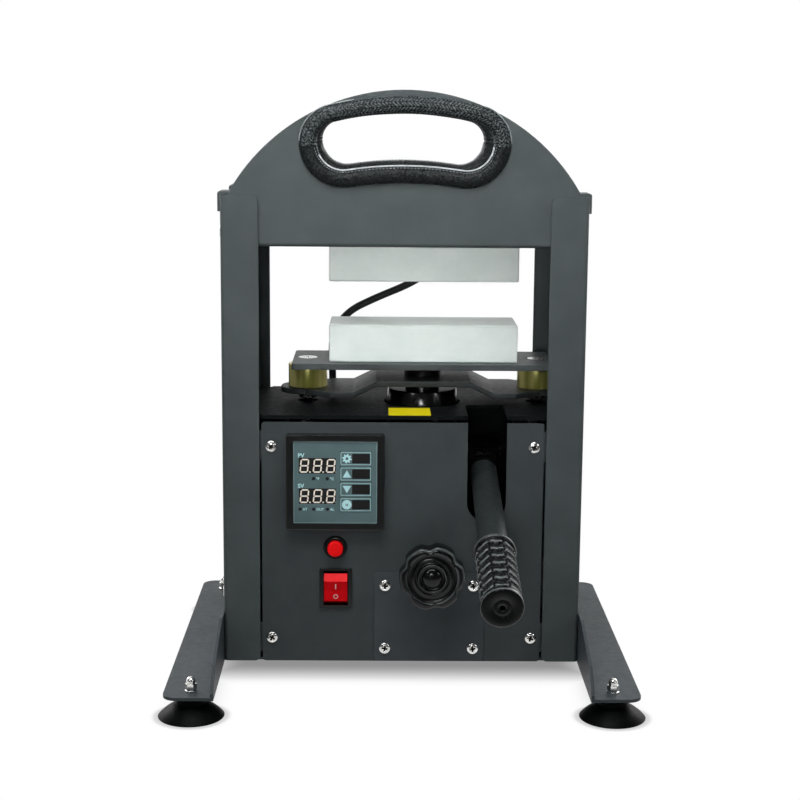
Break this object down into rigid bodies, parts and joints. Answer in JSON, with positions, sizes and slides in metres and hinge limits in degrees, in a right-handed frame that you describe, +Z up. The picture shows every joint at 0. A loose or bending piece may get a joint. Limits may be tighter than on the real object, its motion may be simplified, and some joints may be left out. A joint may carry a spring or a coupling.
{
  "type": "manual hydraulic press",
  "caption": "Bench press with two heated platens, a hydraulic jack pumped by a hand lever, a temperature controller and carrying handles.",
  "frame": {"origin": "on the surface under the feet, below the middle of the overall box", "axes": "+Z up, +Y to the back, away from the controls and the lever's grip, +X to the right"},
  "size_m": [0.3727, 0.4138, 0.4721],
  "materials": {
    "frame_paint": "fine-textured powder coat, satin",
    "panel_paint": "fine-textured powder coat, satin",
    "carriage_paint": "satin paint",
    "cup_rubber": "satin black rubber",
    "bright_steel": "bright nickel plate",
    "handle_leather": "padded black leather, stitched",
    "platen_aluminium": "fine brushed",
    "heater_steel": "drawn steel tube",
    "pad_board": "pressed insulating board",
    "lead_rubber": "smooth black sheath",
    "black_plastic": "fine-grained moulded plastic",
    "jack_iron": "machined and painted casting",
    "jack_steel": "turned steel",
    "lever_steel": "black oxide over machined steel",
    "nut_black": "gloss black enamel over turned steel",
    "spring_steel": "oiled spring wire",
    "yellow_zinc": "yellow zinc plate over turned steel",
    "ram_chrome": "ground and plated",
    "lever_paint": "gloss black paint",
    "grip_rubber": "moulded grip with ribs",
    "controller_plastic": "fine-grained moulded plastic",
    "controller_panel": "printed film over plastic",
    "rocker_plastic": "moulded red plastic",
    "button_plastic": "moulded red plastic",
    "key_plastic": "printed film over a domed key"
  },
  "bodies": {
    "root": {"left_post": "frame_paint", "right_post": "frame_paint", "left_leg": "frame_paint", "right_leg": "frame_paint", "suction_cups": "cup_rubber", "foot_cap_nuts": "bright_steel", "base_beam": "frame_paint", "head_beam": "frame_paint", "bottom_cover": "frame_paint", "frame_bolts": "bright_steel", "head_front_plate": "frame_paint", "head_rear_plate": "frame_paint", "front_handle_wrap": "handle_leather", "rear_handle_wrap": "handle_leather", "tie_straps": "frame_paint", "upper_platen": "platen_aluminium", "upper_heaters": "heater_steel", "upper_lead_box": "platen_aluminium", "insulating_pad": "pad_board", "upper_lead": "lead_rubber", "lead_glands": "black_plastic", "jack_base": "jack_iron", "jack_tubes": "jack_steel", "jack_top_nut": "nut_black", "pump_body": "jack_steel", "fulcrum_bracket": "lever_steel", "fulcrum_pin": "bright_steel", "front_panel": "panel_paint", "top_plate": "panel_paint", "service_cover": "panel_paint", "rear_panel": "panel_paint", "cabinet_brackets": "panel_paint", "panel_screws": "bright_steel", "controller_case": "controller_plastic", "controller_face": "controller_panel", "button_body": "black_plastic", "rocker_housing": "black_plastic", "power_inlet": "black_plastic", "return_springs": "spring_steel"},
    "carriage": {"lower_platen": "platen_aluminium", "lower_heaters": "heater_steel", "carrier_plate": "carriage_paint", "lift_spacers": "yellow_zinc", "carriage_bolts": "bright_steel", "lift_strap": "carriage_paint", "ram_saddle": "jack_steel", "ram": "ram_chrome"},
    "lever": {"lever_socket": "lever_steel", "pump_pin": "bright_steel", "lever_tube": "lever_paint", "lever_grip": "grip_rubber"},
    "plunger": {"pump_plunger": "ram_chrome"},
    "release": {"release_shaft": "jack_steel", "release_knob": "black_plastic"},
    "rocker": {"rocker": "rocker_plastic"},
    "button": {"button_cap": "button_plastic"},
    "menu_key": {"menu_key": "key_plastic"},
    "raise_key": {"raise_key": "key_plastic"},
    "reduce_key": {"reduce_key": "key_plastic"},
    "standby_key": {"standby_key": "key_plastic"}
  },
  "joints": [
    {"name": "carriage_lift", "type": "slide", "parent": "root", "child": "carriage", "axis": [0, 0, 1], "range_m": [0, 0.0348], "deforming": ["return_springs"]},
    {"name": "lever_swing", "type": "hinge", "parent": "root", "child": "lever", "pos_m": [0.06675, 0.07792, 0.1751], "axis": [-1, 0, 0], "range_deg": [-4.5, 40]},
    {"name": "plunger_stroke", "type": "slide", "parent": "root", "child": "plunger", "axis": [0, 0, 1], "range_m": [-0.0019, 0.0165]},
    {"name": "release_turn", "type": "hinge", "parent": "root", "child": "release", "pos_m": [0.0235, -0.03008, 0.0956], "axis": [0, 1, 0], "range_deg": [0, 270]},
    {"name": "rocker_tip", "type": "hinge", "parent": "root", "child": "rocker", "pos_m": [-0.0528, -0.01058, 0.0794], "axis": [-1, 0, 0], "range_deg": [0, 24]},
    {"name": "button_press", "type": "slide", "parent": "root", "child": "button", "axis": [0, 1, 0], "range_m": [0, 0.0025], "stiffness_N_per_m": 400, "springref_m": -0.001},
    {"name": "menu_key_press", "type": "slide", "parent": "root", "child": "menu_key", "axis": [0, 1, 0], "range_m": [0, 0.0006], "stiffness_N_per_m": 800, "springref_m": -0.001},
    {"name": "raise_key_press", "type": "slide", "parent": "root", "child": "raise_key", "axis": [0, 1, 0], "range_m": [0, 0.0006], "stiffness_N_per_m": 800, "springref_m": -0.001},
    {"name": "reduce_key_press", "type": "slide", "parent": "root", "child": "reduce_key", "axis": [0, 1, 0], "range_m": [0, 0.0006], "stiffness_N_per_m": 800, "springref_m": -0.001},
    {"name": "standby_key_press", "type": "slide", "parent": "root", "child": "standby_key", "axis": [0, 1, 0], "range_m": [0, 0.0006], "stiffness_N_per_m": 800, "springref_m": -0.001}
  ],
  "couplings": [
    {"joint": "plunger_stroke", "follows": "lever_swing", "m_per_rad": 0.0235}
  ]
}
